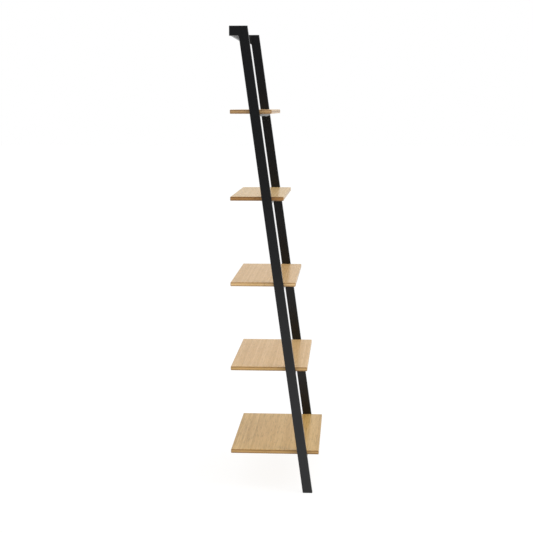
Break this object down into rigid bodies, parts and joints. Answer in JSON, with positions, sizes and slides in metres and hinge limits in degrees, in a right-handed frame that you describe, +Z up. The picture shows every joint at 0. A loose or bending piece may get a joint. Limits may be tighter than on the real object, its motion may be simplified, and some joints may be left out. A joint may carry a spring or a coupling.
{
  "type": "leaning ladder shelf",
  "caption": "Leaning ladder shelf: black tube legs with short arms back to the wall, and bamboo boards that get deeper towards the floor.",
  "frame": {"origin": "on the floor, at the middle of the bounding box", "axes": "+Z up, +X across the width to the right seen from the front, +Y towards the wall, the front is -Y"},
  "size_m": [0.65, 0.35, 1.83],
  "materials": {
    "black_frame": "satin black powder coat",
    "bamboo": "laminated bamboo strips under satin lacquer",
    "black_plastic": "moulded matt black",
    "rubber": "moulded",
    "black_screws": "black oxide",
    "zinc_steel": "bright zinc plate"
  },
  "bodies": {
    "root": {"left_leg": "black_frame", "right_leg": "black_frame", "left_top_arm": "black_frame", "right_top_arm": "black_frame", "left_foot_cap": "black_plastic", "right_foot_cap": "black_plastic", "left_arm_cap": "black_plastic", "right_arm_cap": "black_plastic", "wall_rail": "black_frame", "rail_end_plates": "black_frame", "rail_screws": "black_screws", "rail_rivet_nuts": "zinc_steel", "wall_pads": "rubber", "rung_1": "black_frame", "rung_2": "black_frame", "rung_3": "black_frame", "rung_4": "black_frame", "rung_5": "black_frame", "rung_end_plates": "black_frame", "rung_screws": "black_screws", "rung_rivet_nuts": "zinc_steel", "shelf_board_1": "bamboo", "shelf_board_2": "bamboo", "shelf_board_3": "bamboo", "shelf_board_4": "bamboo", "shelf_board_5": "bamboo", "board_screws": "zinc_steel"}
  },
  "joints": []
}
